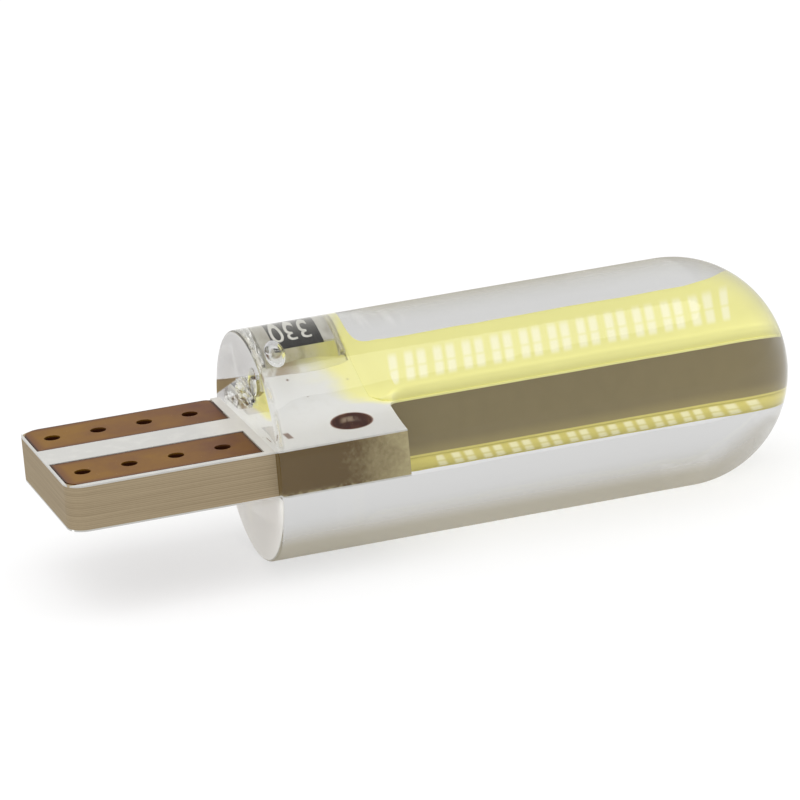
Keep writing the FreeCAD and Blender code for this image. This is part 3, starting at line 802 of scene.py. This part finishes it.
def make_bead_piece(name, side, finish):
    """Phosphor pour along a light strip; side is 1 above the board and -1 below it.

    Each ring across the strip has a flat foot on the board and a flattened arch over it: the width follows
    the cosine and the height the sine of the angle, both raised to a small power so that the arch has square
    shoulders. The height grows smoothly from the feathered root and drops in a quarter round at the strip's
    end.
    """
    straight_end = BEAD_HIGH[0] - POUR_END_ROUND
    root_steps, straight_steps, end_steps, around = 50, 110, 10, 64
    root = np.linspace(POUR_START, 7.2, root_steps)
    straight = np.linspace(7.3, straight_end, straight_steps)
    turn = np.linspace(0.1, 1.0, end_steps) * np.pi / 2
    x = np.concatenate([root, straight, BEAD_HIGH[0] - POUR_END_ROUND * (1 - np.sin(turn))])
    grown = np.clip((x - POUR_SWELL[0]) / POUR_SWELL[1], 0, 1)
    swell = THINNEST_POUR + (1 - THINNEST_POUR) * grown**2 * (3 - 2 * grown)
    end = np.clip((BEAD_HIGH[0] + 0.001 - x) / POUR_END_ROUND, 0, 1)
    height = BEAD_HEIGHT * swell * (1 - (1 - end) ** 2) ** 0.5
    near = np.interp(x, [POUR_START, 5.5, 5.95], [-0.2, -0.75, BEAD_LOW[1]])
    short = np.clip(SHOULDER_END - x, 0, SHOULDER_ROUND) * 0.999
    shoulder = BEAD_HIGH[1] + SHOULDER_ROUND - np.sqrt(SHOULDER_ROUND**2 - short**2)
    far = np.minimum(shoulder, np.interp(x, [POUR_START, 5.3], [3.4, 3.7]))
    t = circle_of(around)
    wide = np.abs(np.cos(t)) ** 0.2 * np.sign(np.cos(t))
    tall = np.clip(np.sin(t), 0, 1) ** 0.25
    y = np.outer((far - near) / 2, wide) + ((far + near) / 2)[:, None]
    z = side * (BOARD_TOP + np.outer(height, tall))
    return lofted(name, np.stack([along_rings(x, around), y, z], -1), finish)


def make_blob(name, centre, radii, waves, finish, slot):
    """A ball stretched to three radii; its radius swells and shrinks by crossed waves of the given height."""
    up = np.linspace(0, np.pi, 26)[1:-1, None]
    t = circle_of(40)[None, :]
    swell = 1 + waves * (np.sin(4 * t + 3 * up) * np.sin(5 * up) + np.abs(np.sin(3 * t - 4 * up)) - 0.5)
    ball = np.stack([np.sin(up) * np.cos(t), np.sin(up) * np.sin(t), np.cos(up) + 0 * t], -1)
    return lofted(name, np.array(centre) + ball * swell[..., None] * np.array(radii), finish)


def make_fillet(name, side, finish):
    """Flux fillet along the resistor's near foot: a hollow quarter round, tapered to nothing at both ends.

    Across, y falls from the ceramic and the height follows (1 - s) squared for s from 0 at the ceramic to 1.
    """
    along, across = 60, 12
    x = np.linspace(CERAMIC_LOW[0] - FLUX_OVERRUN, CERAMIC_HIGH[0] + FLUX_OVERRUN, along)
    swell = np.clip(np.sin(np.linspace(0.02, np.pi - 0.02, along)), 0, 1) ** 0.35
    swell = swell * (1 + 0.05 * np.sin(2.3 * x) + 0.02 * np.sin(7 * x + 1))
    s = np.linspace(0, 1, across)
    y = CERAMIC_LOW[1] + 0.03 - np.outer(FLUX_REACH * swell, s)
    z = BOARD_TOP + np.outer(FLUX_HEIGHT * swell, (1 - s) ** 2)
    y = np.hstack([y, y[:, :1]])
    z = side * np.hstack([z, np.full((along, 1), BOARD_TOP - 0.002)])
    return lofted(name, np.stack([along_rings(x, across + 1), y, z], -1), finish)


def make_digits(name, side, finish):
    """Value of the resistor in thin raised figures, read from the far side; side is 1 above and -1 below."""
    curve = bpy.data.curves.new(name, "FONT")
    curve.body = RESISTOR_VALUE
    curve.extrude = 0.5
    letters = bpy.data.objects.new(name, curve)
    bpy.context.scene.collection.objects.link(letters)
    shape = bpy.data.meshes.new_from_object(letters.evaluated_get(bpy.context.evaluated_depsgraph_get()))
    places = np.empty(len(shape.vertices) * 3)
    shape.vertices.foreach_get("co", places)
    faces = [tuple(face.vertices) for face in shape.polygons]
    bpy.data.objects.remove(letters)
    places = places.reshape(-1, 3)
    low, high = places.min(0), places.max(0)
    unit = (places - (low + high) / 2) / (high - low)
    size = np.array([DIGITS_LENGTH, DIGITS_HEIGHT, DIGITS_DEPTH])
    across = COAT_LOW[1] + DIGITS_MARGIN + DIGITS_HEIGHT / 2
    place = np.array([COAT_MIDDLE[0] - DIGITS_SHIFT, across, COAT_HIGH[2] + DIGITS_DEPTH / 2 - 0.002])
    points = (place + unit * size * (-1, -1, 1)) * (1, 1, side)
    if side < 0:
        faces = [face[::-1] for face in faces]
    return add_piece(name, points, faces, finish, smooth=False)


def dress_nodes():
    """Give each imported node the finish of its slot."""
    finishes = {
        "board_laminate": make_laminate(),
        "white_lacquer": make_lacquer(),
        "copper_pad": make_copper(),
        "plated_hole": make_plated(),
        "phosphor": PHOSPHOR,
        "die": make_plain("die_chip", (0.75, 0.74, 0.5), (0.85, 0.84, 0.6), roughness=0.4),
        "resistor_ceramic": make_ceramic(),
        "resistor_coat": make_plain(
            "resistor_black_coat", shown(26, 24, 20), shown(38, 36, 32), roughness=0.6, specular=0.0
        ),
        "tinned_cap": make_cap(),
        "solder": SOLDER,
    }
    for row in frame["record"]["subparts"]:
        if row["material_slot"] in finishes:
            mesh = frame["nodes"][row["node"]].data
            mesh.materials.clear()
            mesh.materials.append(finishes[row["material_slot"]])


def make_poured_and_soldered():
    """Gel, phosphor, solder, figures, flux, the bubble and the drops."""
    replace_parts(make_gel_piece(make_gel()), "gel_body")
    figure_white = make_plain("figure_white", shown(208, 206, 196), shown(224, 222, 214), roughness=0.5)
    flux = make_flux()
    for face, side in (("top", 1), ("bottom", -1)):
        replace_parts(make_bead_piece("phosphor_pour_" + face, side, PHOSPHOR), "phosphor_bead_" + face)
        make_digits("resistor_value_" + face, side, figure_white)
        make_fillet("flux_fillet_" + face, side, flux)
        for end, along in (("base", SOLDER_HEEL), ("dome", SOLDER_TOE)):
            centre = (along, COAT_MIDDLE[1], side * (BOARD_TOP + SOLDER_LIFT))
            name = "solder_lump_%s_%s" % (face, end)
            lump = make_blob(name, centre, SOLDER_RADII, SOLDER_WAVES, SOLDER, "solder")
            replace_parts(lump, "solder_joint_%s_%s" % (face, end))
    drop = make_drop()
    make_blob("round_bubble", *ROUND_BUBBLE, make_bubble(), "clear_gel")
    make_blob("gel_drop_on_flat_end", *HANGING_DROP, drop, "clear_gel")
    make_blob("crumpled_drop_on_flat_end", *CRUMPLED_DROP, drop, "clear_gel")


# Stage


def make_floor():
    """Plain pale floor at the bulb's lowest point, lit softly from within as a light table is."""
    finish = Finish("pale_floor")
    shader = finish.surface(
        base_color=finish.mix(finish.noise(scale=0.01), grey(0.30), grey(0.31)),
        roughness=0.9,
        specular=0.1,
        emission_color=grey(1.0),
        emission_strength=FLOOR_GLOW,
    )
    half = FLOOR_HALF
    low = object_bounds()[0].z / MM
    corners = np.array([(-half, -half, low), (half, -half, low), (half, half, low), (-half, half, low)])
    mesh = bpy.data.meshes.new("floor")
    mesh.from_pydata((corners * MM).tolist(), [], [(0, 1, 2, 3)])
    mesh.materials.append(finish.finish_with(shader))
    floor = bpy.data.objects.new("floor", mesh)
    bpy.context.scene.collection.objects.link(floor)


def make_light(name, place, size, power):
    """A square softbox at a place in metres, turned to the bulb."""
    lamp = bpy.data.lights.new(name, "AREA")
    lamp.shape = "SQUARE"
    lamp.size = size
    lamp.energy = power
    box = bpy.data.objects.new(name, lamp)
    bpy.context.scene.collection.objects.link(box)
    box.location = place
    box.rotation_euler = (-Vector(place)).to_track_quat("-Z", "Y").to_euler()


def make_world():
    """Soft white surroundings."""
    world = bpy.data.worlds.new("studio")
    bpy.context.scene.world = world
    world.use_nodes = True
    background = world.node_tree.nodes["Background"]
    background.inputs["Color"].default_value = (*grey(1.0), 1.0)
    background.inputs["Strength"].default_value = WORLD_LIGHT


def make_camera():
    """The camera that took the picture: a long lens from the near side, a little above."""
    lens = bpy.data.cameras.new("camera")
    lens.lens = CAMERA_LENS
    lens.sensor_width = 36.0
    lens.clip_start = 0.01
    lens.clip_end = 10.0
    camera = bpy.data.objects.new("camera", lens)
    bpy.context.scene.collection.objects.link(camera)
    right = Vector(CAMERA_RIGHT).normalized()
    back = right.cross(Vector(CAMERA_UP)).normalized()
    axes = Matrix((right, back.cross(right), back)).transposed().to_4x4()
    axes.translation = Vector(CAMERA_PLACE) * MM
    camera.matrix_world = axes
    bpy.context.scene.camera = camera


PHOSPHOR = make_phosphor()
SOLDER = make_solder()
dress_nodes()
make_poured_and_soldered()
make_floor()
make_world()
make_light("softbox_above", SOFTBOX_PLACE, SOFTBOX_SIZE, SOFTBOX_POWER)
make_camera()
bpy.context.scene.view_settings.view_transform = "Standard"
